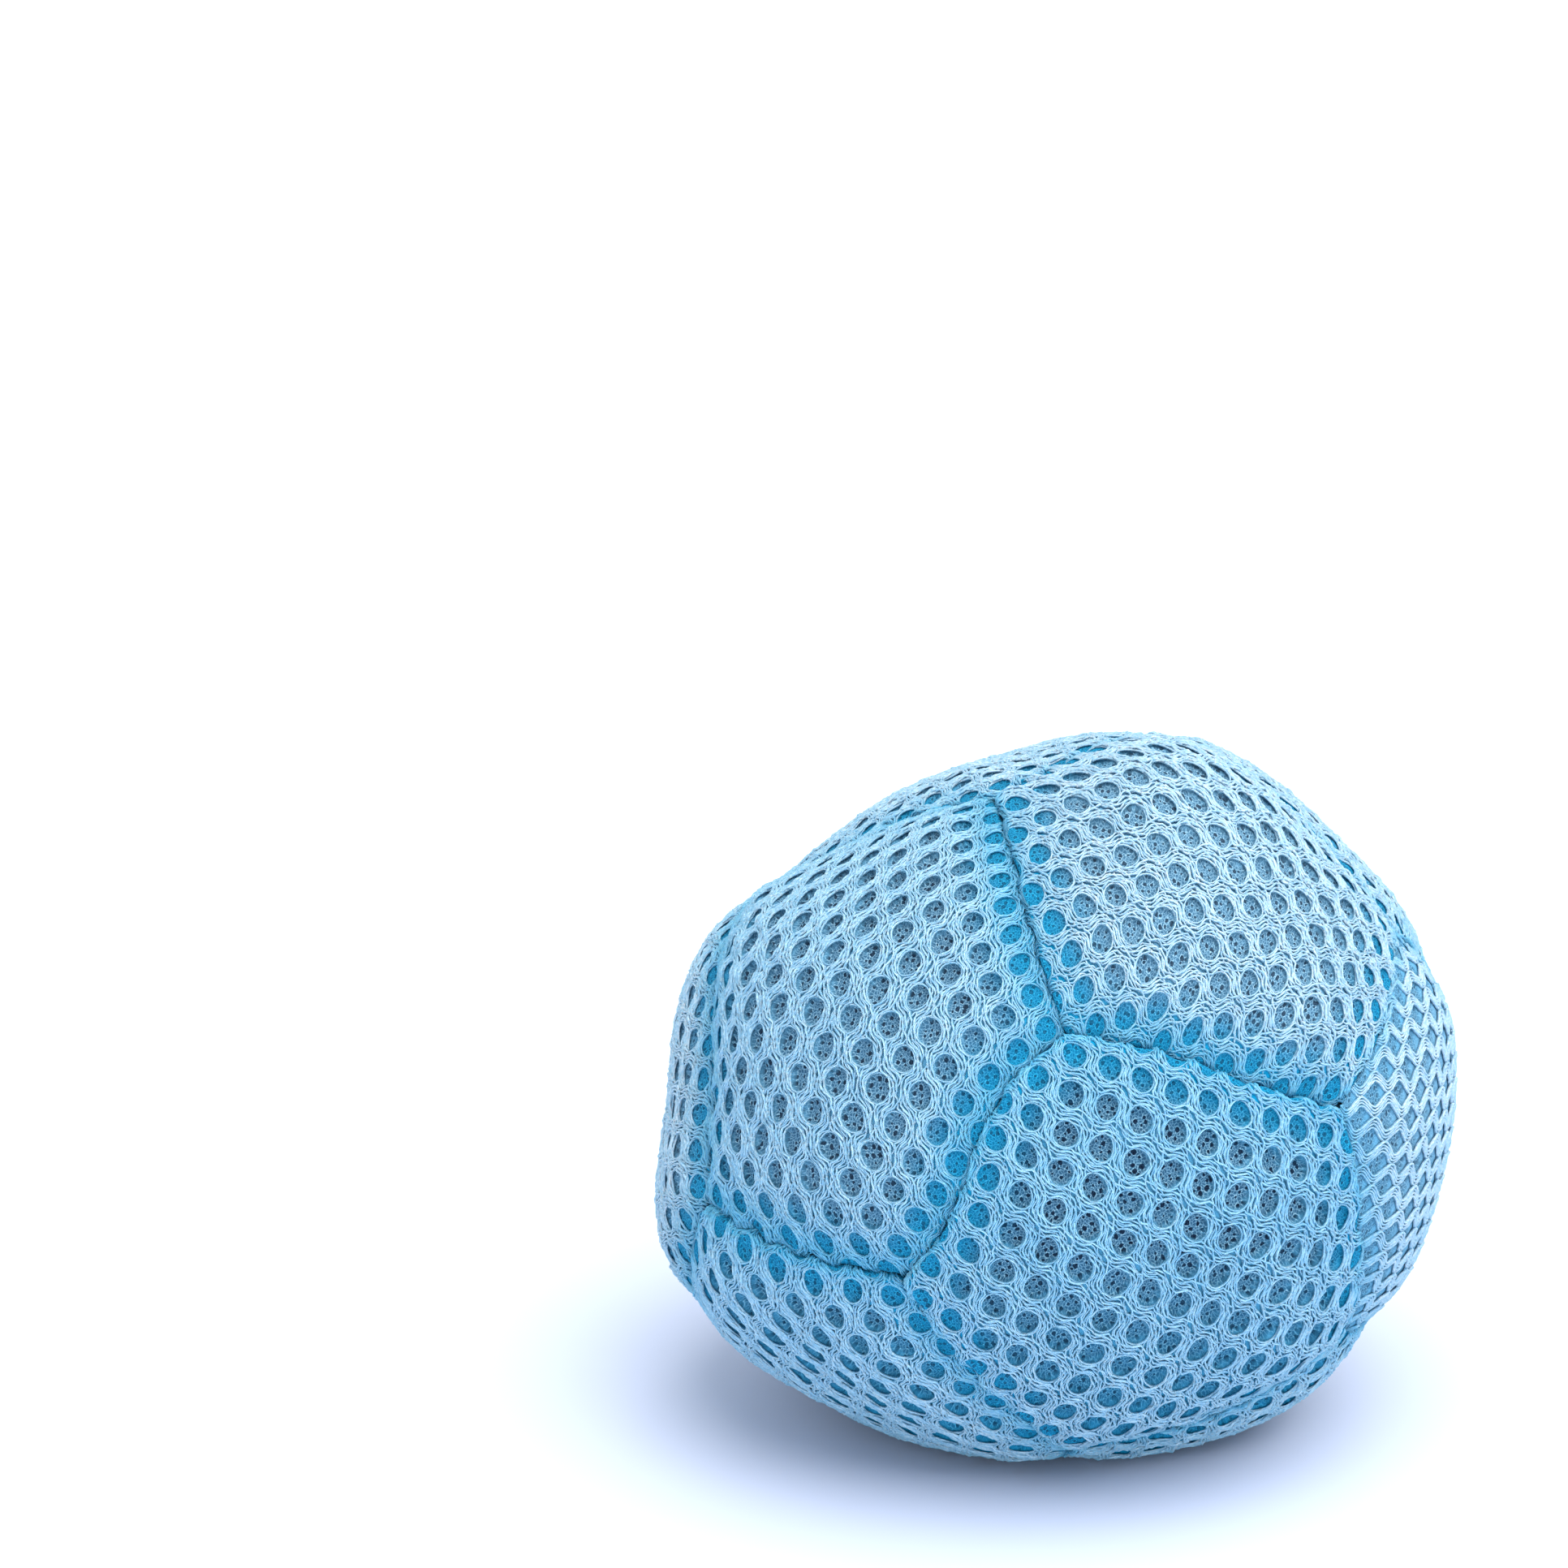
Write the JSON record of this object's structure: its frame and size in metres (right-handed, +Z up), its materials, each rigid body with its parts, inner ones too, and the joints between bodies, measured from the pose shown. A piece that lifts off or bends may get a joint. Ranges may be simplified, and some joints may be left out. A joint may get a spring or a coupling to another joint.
{
  "type": "footbag",
  "caption": "Soft round footbag sewn from pentagonal panels of thick knitted mesh, filled with loose pellets, resting on a flattened base.",
  "frame": {"origin": "on the resting plane, under the middle of the bag", "axes": "+Z up from the resting face, +X towards the right of the front view along the widest way, -Y towards the front"},
  "size_m": [0.0602, 0.0574, 0.0525],
  "materials": {
    "mesh_fabric": "light blue polyester spacer mesh: soft knitted strands round open holes, over a fuzzy darker blue inner layer",
    "sewing_thread": "blue polyester sewing thread, slightly glossy",
    "pellet_filling": "natural translucent white plastic pellets"
  },
  "bodies": {
    "root": {"panel_upper_right": "mesh_fabric", "panel_upper_left": "mesh_fabric", "panel_top": "mesh_fabric", "panel_lower_left": "mesh_fabric", "panel_back": "mesh_fabric", "panel_left": "mesh_fabric", "panel_upper_back": "mesh_fabric", "panel_front": "mesh_fabric", "panel_right": "mesh_fabric", "panel_base_back": "mesh_fabric", "panel_lower_back": "mesh_fabric", "panel_base": "mesh_fabric", "seam_thread_back_to_base_back": "sewing_thread", "seam_thread_back_to_left": "sewing_thread", "seam_thread_back_to_lower_back": "sewing_thread", "seam_thread_back_to_top": "sewing_thread", "seam_thread_back_to_upper_back": "sewing_thread", "seam_thread_base_to_base_back": "sewing_thread", "seam_thread_base_to_front": "sewing_thread", "seam_thread_base_to_lower_back": "sewing_thread", "seam_thread_base_to_lower_left": "sewing_thread", "seam_thread_base_to_right": "sewing_thread", "seam_thread_base_back_to_left": "sewing_thread", "seam_thread_base_back_to_lower_back": "sewing_thread", "seam_thread_base_back_to_lower_left": "sewing_thread", "seam_thread_front_to_lower_left": "sewing_thread", "seam_thread_front_to_right": "sewing_thread", "seam_thread_front_to_upper_left": "sewing_thread", "seam_thread_front_to_upper_right": "sewing_thread", "seam_thread_left_to_lower_left": "sewing_thread", "seam_thread_left_to_top": "sewing_thread", "seam_thread_left_to_upper_left": "sewing_thread", "seam_thread_lower_back_to_right": "sewing_thread", "seam_thread_lower_back_to_upper_back": "sewing_thread", "seam_thread_lower_left_to_upper_left": "sewing_thread", "seam_thread_right_to_upper_back": "sewing_thread", "seam_thread_right_to_upper_right": "sewing_thread", "seam_thread_top_to_upper_back": "sewing_thread", "seam_thread_top_to_upper_left": "sewing_thread", "seam_thread_top_to_upper_right": "sewing_thread", "seam_thread_upper_back_to_upper_right": "sewing_thread", "seam_thread_upper_left_to_upper_right": "sewing_thread", "pellet_filling": "pellet_filling"}
  },
  "joints": []
}
